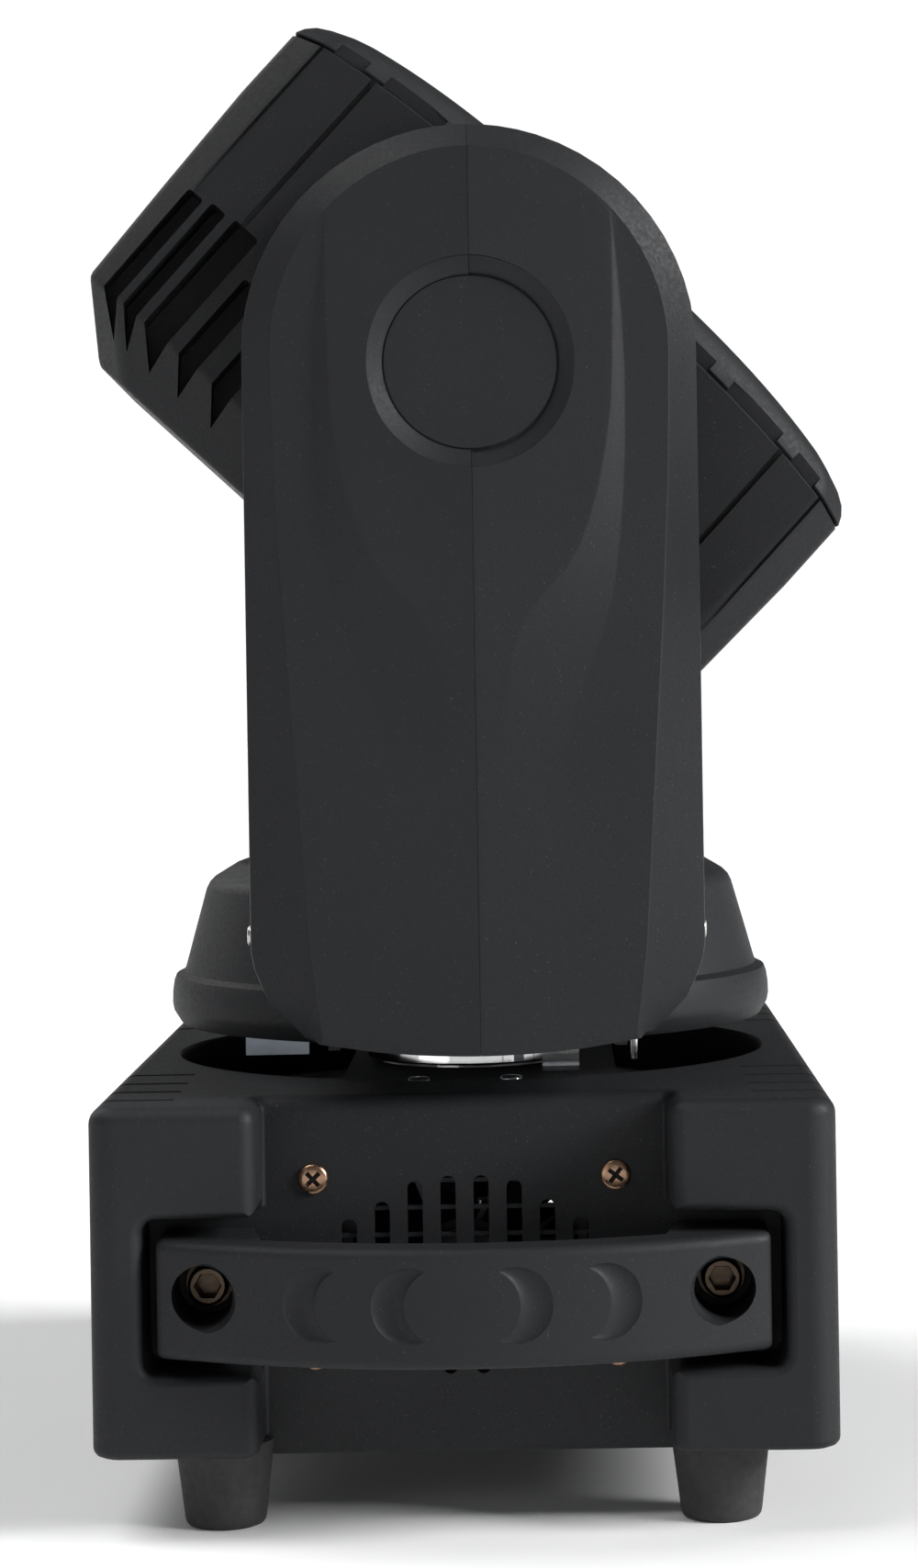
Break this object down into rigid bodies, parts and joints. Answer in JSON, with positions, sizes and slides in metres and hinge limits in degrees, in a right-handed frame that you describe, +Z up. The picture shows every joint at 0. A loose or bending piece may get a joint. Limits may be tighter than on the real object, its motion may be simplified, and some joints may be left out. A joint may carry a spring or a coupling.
{
  "type": "moving head light",
  "caption": "Moving head wash light: a rectangular base with carrying handles, a two-armed yoke that pans, and a tilting box-shaped head with a round multi-lens front.",
  "frame": {"origin": "On the floor, on the pan axis, which passes through the middle of the base.", "axes": "+Z up along the pan axis; +X towards the display side of the base; +Y towards the left arm, so -Y is the side seen square on in the picture. The yoke rests panned 2.3 degrees and the head tilted 43 degrees from straight up, as pictured."},
  "size_m": [0.2605, 0.396, 0.495],
  "materials": {
    "base_housing": "fine leather-grain moulded plastic, matt",
    "handle_right": "fine leather-grain moulded plastic, matt",
    "handle_left": "fine leather-grain moulded plastic, matt",
    "turret_cover": "fine leather-grain moulded plastic, matt",
    "head_housing": "fine leather-grain moulded plastic, matt",
    "head_bezel": "fine leather-grain moulded plastic, matt",
    "arm_cover_right_front": "fine leather-grain moulded plastic, matt",
    "arm_cover_right_rear": "fine leather-grain moulded plastic, matt",
    "arm_cover_left_front": "fine leather-grain moulded plastic, matt",
    "arm_cover_left_rear": "fine leather-grain moulded plastic, matt",
    "base_tray": "black powder coat",
    "rear_panel": "black powder coat",
    "foot_right_front": "matt black rubber",
    "foot_right_rear": "matt black rubber",
    "foot_left_front": "matt black rubber",
    "foot_left_rear": "matt black rubber",
    "handle_bolt_right_front": "bronzed steel",
    "handle_bolt_right_rear": "bronzed steel",
    "handle_bolt_left_front": "bronzed steel",
    "handle_bolt_left_rear": "bronzed steel",
    "display_panel": "smooth black",
    "pan_plate": "smooth black",
    "lens_plate": "smooth black",
    "power_inlet": "smooth black",
    "base_fan_frame_right": "smooth black",
    "base_fan_frame_left": "smooth black",
    "head_fan_frame": "smooth black",
    "base_fan_rotor_right": "satin black",
    "base_fan_rotor_left": "satin black",
    "head_fan_rotor": "satin black",
    "display_screen": "dark glass over a liquid crystal screen",
    "menu_button_1": "satin black rubber",
    "menu_button_2": "satin black rubber",
    "menu_button_3": "satin black rubber",
    "menu_button_4": "satin black rubber",
    "dmx_in": "nickel plated",
    "dmx_out": "nickel plated",
    "power_supply": "bare aluminium",
    "pan_pulley": "bare aluminium",
    "pan_motor_pulley": "bare aluminium",
    "tilt_pulley": "bare aluminium",
    "tilt_motor_pulley": "bare aluminium",
    "heat_sink": "bare aluminium",
    "control_board": "green solder mask",
    "led_board": "white solder mask",
    "pan_bearing": "bright turned steel",
    "pan_shaft": "bright turned steel",
    "pan_flag_pin": "bright turned steel",
    "tilt_bearing_right": "bright turned steel",
    "tilt_bearing_left": "bright turned steel",
    "tilt_shaft_right": "bright turned steel",
    "tilt_shaft_left": "bright turned steel",
    "pan_motor": "satin black paint",
    "tilt_motor": "satin black paint",
    "pan_belt": "black belt rubber",
    "tilt_belt": "black belt rubber",
    "pan_sensor_bracket": "zinc plated sheet",
    "yoke_frame": "zinc plated sheet",
    "turret_floor": "zinc plated sheet",
    "lens_array": "clear acrylic"
  },
  "bodies": {
    "base": {"base_tray": "base_tray", "base_housing": "base_housing", "foot_right_front": "foot_right_front", "foot_right_rear": "foot_right_rear", "foot_left_front": "foot_left_front", "foot_left_rear": "foot_left_rear", "handle_right": "handle_right", "handle_left": "handle_left", "handle_bolt_right_front": "handle_bolt_right_front", "handle_bolt_right_rear": "handle_bolt_right_rear", "handle_bolt_left_front": "handle_bolt_left_front", "handle_bolt_left_rear": "handle_bolt_left_rear", "display_panel": "display_panel", "display_screen": "display_screen", "rear_panel": "rear_panel", "power_inlet": "power_inlet", "dmx_in": "dmx_in", "dmx_out": "dmx_out", "power_supply": "power_supply", "control_board": "control_board", "base_fan_frame_right": "base_fan_frame_right", "base_fan_frame_left": "base_fan_frame_left", "pan_plate": "pan_plate", "pan_bearing": "pan_bearing", "pan_motor": "pan_motor", "pan_belt": "pan_belt", "pan_sensor_bracket": "pan_sensor_bracket"},
    "yoke": {"yoke_frame": "yoke_frame", "turret_cover": "turret_cover", "turret_floor": "turret_floor", "arm_cover_right_front": "arm_cover_right_front", "arm_cover_right_rear": "arm_cover_right_rear", "arm_cover_left_front": "arm_cover_left_front", "arm_cover_left_rear": "arm_cover_left_rear", "pan_shaft": "pan_shaft", "pan_pulley": "pan_pulley", "pan_flag_pin": "pan_flag_pin", "tilt_motor": "tilt_motor", "tilt_belt": "tilt_belt", "tilt_bearing_right": "tilt_bearing_right", "tilt_bearing_left": "tilt_bearing_left"},
    "head": {"head_housing": "head_housing", "head_bezel": "head_bezel", "lens_plate": "lens_plate", "lens_array": "lens_array", "led_board": "led_board", "heat_sink": "heat_sink", "head_fan_frame": "head_fan_frame", "tilt_shaft_right": "tilt_shaft_right", "tilt_shaft_left": "tilt_shaft_left", "tilt_pulley": "tilt_pulley"},
    "menu_button_1": {"menu_button_1": "menu_button_1"},
    "menu_button_2": {"menu_button_2": "menu_button_2"},
    "menu_button_3": {"menu_button_3": "menu_button_3"},
    "menu_button_4": {"menu_button_4": "menu_button_4"},
    "base_fan_rotor_right": {"base_fan_rotor_right": "base_fan_rotor_right"},
    "base_fan_rotor_left": {"base_fan_rotor_left": "base_fan_rotor_left"},
    "pan_motor_pulley": {"pan_motor_pulley": "pan_motor_pulley"},
    "tilt_motor_pulley": {"tilt_motor_pulley": "tilt_motor_pulley"},
    "head_fan_rotor": {"head_fan_rotor": "head_fan_rotor"}
  },
  "joints": [
    {"name": "pan", "type": "hinge", "parent": "base", "child": "yoke", "pos_m": [0, 0, 0], "axis": [0, 0, 1], "range_deg": [-272.3, 267.7]},
    {"name": "pan_motor_pulley_spin", "type": "hinge", "parent": "base", "child": "pan_motor_pulley", "pos_m": [-0.075, 0, 0.088], "axis": [0, 0, 1], "range_deg": [-1100, 1080]},
    {"name": "tilt", "type": "hinge", "parent": "yoke", "child": "head", "pos_m": [0, 0, 0.377], "axis": [-0.0401, 0.9992, 0], "range_deg": [-178, 92]},
    {"name": "tilt_motor_pulley_spin", "type": "hinge", "parent": "yoke", "child": "tilt_motor_pulley", "pos_m": [-0.00522, 0.1299, 0.178], "axis": [-0.0401, 0.9992, 0], "range_deg": [-720, 376]},
    {"name": "head_fan_spin", "type": "hinge", "parent": "head", "child": "head_fan_rotor", "pos_m": [-0.04208, -0.00169, 0.32671], "axis": [0.6814, 0.0274, 0.7314], "continuous": true},
    {"name": "base_fan_right_spin", "type": "hinge", "parent": "base", "child": "base_fan_rotor_right", "pos_m": [0, -0.1407, 0.081], "axis": [0, 1, 0], "continuous": true},
    {"name": "base_fan_left_spin", "type": "hinge", "parent": "base", "child": "base_fan_rotor_left", "pos_m": [0, 0.1407, 0.081], "axis": [0, 1, 0], "continuous": true},
    {"name": "menu_button_1_press", "type": "slide", "parent": "base", "child": "menu_button_1", "axis": [-1, 0, 0], "range_m": [0, 0.001], "stiffness_N_per_m": 300},
    {"name": "menu_button_2_press", "type": "slide", "parent": "base", "child": "menu_button_2", "axis": [-1, 0, 0], "range_m": [0, 0.001], "stiffness_N_per_m": 300},
    {"name": "menu_button_3_press", "type": "slide", "parent": "base", "child": "menu_button_3", "axis": [-1, 0, 0], "range_m": [0, 0.001], "stiffness_N_per_m": 300},
    {"name": "menu_button_4_press", "type": "slide", "parent": "base", "child": "menu_button_4", "axis": [-1, 0, 0], "range_m": [0, 0.001], "stiffness_N_per_m": 300}
  ],
  "couplings": [
    {"joint": "pan_motor_pulley_spin", "follows": "pan", "ratio": 4},
    {"joint": "tilt_motor_pulley_spin", "follows": "tilt", "ratio": 4}
  ]
}
